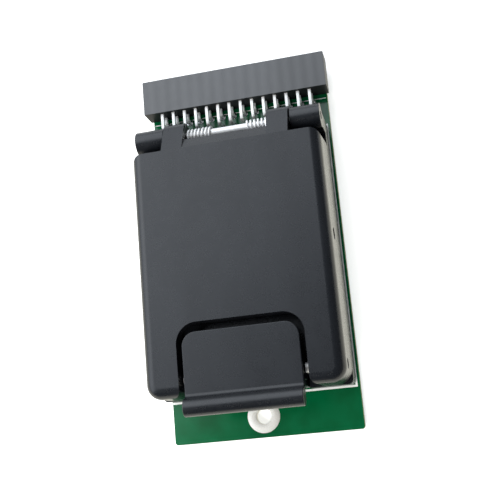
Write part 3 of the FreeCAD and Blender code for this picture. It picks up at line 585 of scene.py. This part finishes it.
# Board surface. A solder fillet is (radius, height off the board) from its rim to the tail.
FILLET_ABOVE = ((0.74, 0.0), (0.73, 0.04), (0.6, 0.1), (0.48, 0.2), (0.4, 0.36),
                (TAIL_SIDE / 2, 0.44))
FILLET_BELOW = ((0.95, 0.0), (0.93, 0.06), (0.75, 0.18), (0.58, 0.38), (0.46, 0.7),
                (TAIL_SIDE / 2, 0.85))
FILLET_SIDES = 20
PAD_RISE = 0.04
PAD_RIM_BEVEL = 0.03
PAD_MOUTH_BEVEL = 0.06
PAD_SIDES = 64
LEGEND_INSET = 0.1
LEGEND_RIGHT = 19.07
LEGEND_FRONT = -31.1
LEGEND_BACK = 24.9
LEGEND_WIDTH = 0.42
HEADER_LINE_INSET = 0.3
HEADER_LINE_WIDTH = 0.18
TRACK_ABOVE_WIDTH = 0.3
TRACK_ABOVE_BEND_Y = 25.6
TRACK_ABOVE_LEAN = 0.9
TRACK_BELOW_WIDTH = 0.25
TRACK_TURN_Y = 24.0
TRACK_TURN_STEP = 0.35
TRACK_END_Y = 4.0
CHIP_TRACK_PITCH = 0.8


def tail_column(i):
    return (i - (COLUMNS - 1) / 2) * PITCH


def tail_places():
    return [(tail_column(i), y) for y in TAIL_Y for i in range(COLUMNS)]


def tail_solder(place):
    """Fillets of solder round one header tail, above and below the board."""
    top = [(radius, TOP + height) for radius, height in FILLET_ABOVE]
    under = [(radius, UNDER - height) for radius, height in reversed(FILLET_BELOW)]
    return [lathe(top, place, FILLET_SIDES), lathe(under, place, FILLET_SIDES)]


def add_solder():
    shapes = []
    for place in tail_places():
        shapes += tail_solder(place)
    add_piece("tail_solder", shapes, SOLDER, ROOT)


def add_mounting_pad():
    centre = (SOCKET_X, MOUNT_Y)
    lining = MOUNT_HOLE_R - PLATING_T
    rim = MOUNT_PAD_R - PAD_RIM_BEVEL
    mouth = lining + PAD_MOUTH_BEVEL
    above = TOP + PAD_RISE
    below = UNDER - PAD_RISE
    profile = [(MOUNT_PAD_R, TOP), (rim, above), (mouth, above), (lining, TOP),
               (lining, UNDER), (mouth, below), (rim, below), (MOUNT_PAD_R, UNDER)]
    shape = lathe(profile, centre, PAD_SIDES, ring_shaped=True)
    add_piece("mounting_pad", [shape], PAD_TIN, ROOT)


def add_legend():
    """Printed outline of the test socket and of the header."""
    z0 = TOP
    z1 = TOP + PRINT_T
    left = BOARD_LEFT + LEGEND_INSET
    outline = [(left, LEGEND_FRONT), (LEGEND_RIGHT, LEGEND_FRONT), (LEGEND_RIGHT, LEGEND_BACK),
               (left, LEGEND_BACK)]
    header = [(BOARD_LEFT + HEADER_LINE_INSET, HEADER_LINE_Y),
              (BOARD_RIGHT - HEADER_LINE_INSET, HEADER_LINE_Y)]
    shapes = [ribbon(outline, LEGEND_WIDTH, z0, z1), ribbon(header, HEADER_LINE_WIDTH, z0, z1)]
    add_piece("legend", shapes, INK, ROOT, smooth=False)


def add_tracks():
    """Tracks under the mask: short ones above, and the fan-out to the chip below."""
    above = []
    below = []
    for i in range(COLUMNS):
        x = tail_column(i)
        from_middle = i - (COLUMNS - 1) / 2
        near = SOCKET_X + from_middle * CHIP_TRACK_PITCH
        lean = [(x, TAIL_Y[1]), (x, TRACK_ABOVE_BEND_Y), (x * TRACK_ABOVE_LEAN, TRACK_TURN_Y)]
        above.append(ribbon(lean, TRACK_ABOVE_WIDTH, TOP, TOP + PRINT_T))
        # The rear tail's track goes round the front tail, whose own track starts straight
        turn_y = TRACK_TURN_Y - TRACK_TURN_STEP * abs(from_middle)
        beside = x + PITCH / 2
        rear = [(x, TAIL_Y[0]), (beside, TAIL_Y[0] - PITCH / 2)]
        front = [(x, TAIL_Y[1])]
        for points, start_x, side in ((rear, beside, 1), (front, x, -1)):
            end_x = near + side * CHIP_TRACK_PITCH / 4
            bend = abs(start_x - end_x)
            points += [(start_x, turn_y), (end_x, turn_y - bend), (end_x, TRACK_END_Y)]
            below.append(ribbon(points, TRACK_BELOW_WIDTH, UNDER - PRINT_T, UNDER))
    add_piece("tracks_above", above, MASKED_COPPER, ROOT, smooth=False)
    add_piece("tracks_below", below, MASKED_COPPER, ROOT, smooth=False)


# Light and room. Edges are cosines to BRIGHT_SIDE or heights, floor sizes are metres.
BRIGHT_SIDE = (-0.75, 0.66, 0.0)
DIM_EDGE = 0.18
BRIGHT_EDGE = 0.34
LOW_EDGE = -0.15
HIGH_EDGE = 0.5
DIM_LEVEL = 0.1
BRIGHT_LEVEL = 2.45
WHITE_TO_CAMERA = 3.0
SKY_TINT = (0.86, 0.92, 1.0)
FLOOR_SIZE = 2.0
FLOOR_TO_CAMERA = 0.6
FLOOR_TO_GLOSS = 1.3
FLOOR_COOL_FROM = 0.03
FLOOR_COOL_TO = 0.06
SENSOR_WIDTH = 36.0


def add_camera():
    data = bpy.data.cameras.new("camera")
    data.lens = CAMERA_LENS
    data.sensor_width = SENSOR_WIDTH
    data.clip_start = 0.01
    camera = bpy.data.objects.new("camera", data)
    camera.location = Vector(CAMERA_PLACE) * MM
    camera.rotation_euler = Euler([math.radians(a) for a in CAMERA_TURN], "XYZ")
    bpy.context.scene.collection.objects.link(camera)
    bpy.context.scene.camera = camera


def add_lamp(name, place, side, power, colour):
    """Square lamp that looks at the middle of the object's foot."""
    data = bpy.data.lights.new(name, "AREA")
    data.shape = "RECTANGLE"
    data.size = side
    data.size_y = side
    data.energy = power
    data.color = colour
    lamp = bpy.data.objects.new(name, data)
    lamp.location = Vector(place)
    lamp.rotation_euler = Vector(place).to_track_quat("Z", "Y").to_euler()
    bpy.context.scene.collection.objects.link(lamp)
    return lamp


def edge_of_light(tree, value, start, end):
    """0 below the start, 1 above the end, smooth between."""
    level = tree.nodes.new("ShaderNodeMapRange")
    level.interpolation_type = "SMOOTHSTEP"
    level.inputs["From Min"].default_value = start
    level.inputs["From Max"].default_value = end
    tree.links.new(value, level.inputs["Value"])
    return level.outputs["Result"]


def add_world():
    """White to the camera. Lights from one bright patch, behind and left; dim elsewhere."""
    world = bpy.data.worlds.new("world")
    bpy.context.scene.world = world
    world.use_nodes = True
    tree = world.node_tree
    background = tree.nodes["Background"]
    direction = tree.nodes.new("ShaderNodeTexCoord").outputs["Generated"]
    across = tree.nodes.new("ShaderNodeVectorMath")
    across.operation = "DOT_PRODUCT"
    across.inputs[1].default_value = BRIGHT_SIDE
    tree.links.new(direction, across.inputs[0])
    split = tree.nodes.new("ShaderNodeSeparateXYZ")
    tree.links.new(direction, split.inputs["Vector"])
    patch = math_node(tree, "MULTIPLY",
                      edge_of_light(tree, across.outputs["Value"], DIM_EDGE, BRIGHT_EDGE),
                      edge_of_light(tree, split.outputs["Z"], LOW_EDGE, HIGH_EDGE))
    seen = tree.nodes.new("ShaderNodeLightPath").outputs["Is Camera Ray"]
    strength = math_node(tree, "MAXIMUM", spread(tree, patch, DIM_LEVEL, BRIGHT_LEVEL),
                         math_node(tree, "MULTIPLY", seen, WHITE_TO_CAMERA))
    tree.links.new(strength, background.inputs["Strength"])
    background.inputs["Color"].default_value = (*SKY_TINT, 1)


def show_from_below(tree, shader):
    """Clear when looked at from below, so that the object's underside can be seen."""
    clear = tree.nodes.new("ShaderNodeBsdfTransparent")
    choice = tree.nodes.new("ShaderNodeMixShader")
    from_below = tree.nodes.new("ShaderNodeNewGeometry").outputs["Backfacing"]
    tree.links.new(from_below, choice.inputs["Fac"])
    tree.links.new(shader.outputs["BSDF"], choice.inputs[1])
    tree.links.new(clear.outputs["BSDF"], choice.inputs[2])
    tree.links.new(choice.outputs["Shader"], tree.nodes["Material Output"].inputs["Surface"])


def add_floor():
    """Pale table, white to the camera; in reflections warm in front and cool behind."""
    size = FLOOR_SIZE
    verts = [(-size, -size, 0), (size, -size, 0), (size, size, 0), (-size, size, 0)]
    mesh = bpy.data.meshes.new("floor")
    mesh.from_pydata(verts, [], [(0, 1, 2, 3)])
    material, tree, shader, place = new_material("floor")
    shader.inputs["Roughness"].default_value = 0.9
    shader.inputs["Specular IOR Level"].default_value = 0.0
    path = tree.nodes.new("ShaderNodeLightPath")
    mottle = noise(tree, place, 0.01, 2.0)
    pale = ramp(tree, mottle, (0.84, 0.84, 0.83), (0.86, 0.86, 0.85))
    dim = constant_colour(tree, (0.03, 0.03, 0.03))
    tree.links.new(mix_colour(tree, path.outputs["Is Glossy Ray"], pale, dim),
                   shader.inputs["Base Color"])
    white = constant_colour(tree, (1, 1, 1))
    warm = constant_colour(tree, (1.0, 0.985, 0.87))
    cool = constant_colour(tree, (0.9, 0.95, 1.0))
    split = tree.nodes.new("ShaderNodeSeparateXYZ")
    tree.links.new(place, split.inputs["Vector"])
    behind = edge_of_light(tree, split.outputs["Y"], FLOOR_COOL_FROM, FLOOR_COOL_TO)
    glow = mix_colour(tree, behind, warm, cool)
    tint = mix_colour(tree, path.outputs["Is Camera Ray"], glow, white)
    tree.links.new(tint, shader.inputs["Emission Color"])
    to_camera = math_node(tree, "MULTIPLY", path.outputs["Is Camera Ray"], FLOOR_TO_CAMERA)
    to_gloss = math_node(tree, "MULTIPLY", path.outputs["Is Glossy Ray"], FLOOR_TO_GLOSS)
    tree.links.new(math_node(tree, "ADD", to_camera, to_gloss), shader.inputs["Emission Strength"])
    show_from_below(tree, shader)
    mesh.materials.append(material)
    floor = bpy.data.objects.new("floor", mesh)
    bpy.context.scene.collection.objects.link(floor)


def main():
    bpy.context.scene.view_settings.view_transform = "Standard"
    add_camera()
    add_world()
    add_floor()
    add_lamp("softbox", (-0.45, 0.28, 0.5), 0.4, 0.4, (1.0, 0.99, 0.97))
    fill = add_lamp("front_lamp", (-0.08, -0.26, 0.45), 0.25, 2.2, (1.0, 0.98, 0.94))
    fill.visible_glossy = False
    for name, material in NODE_MATERIALS.items():
        dress_node(name, material)
    add_springs()
    add_solder()
    add_mounting_pad()
    add_legend()
    add_tracks()


main()
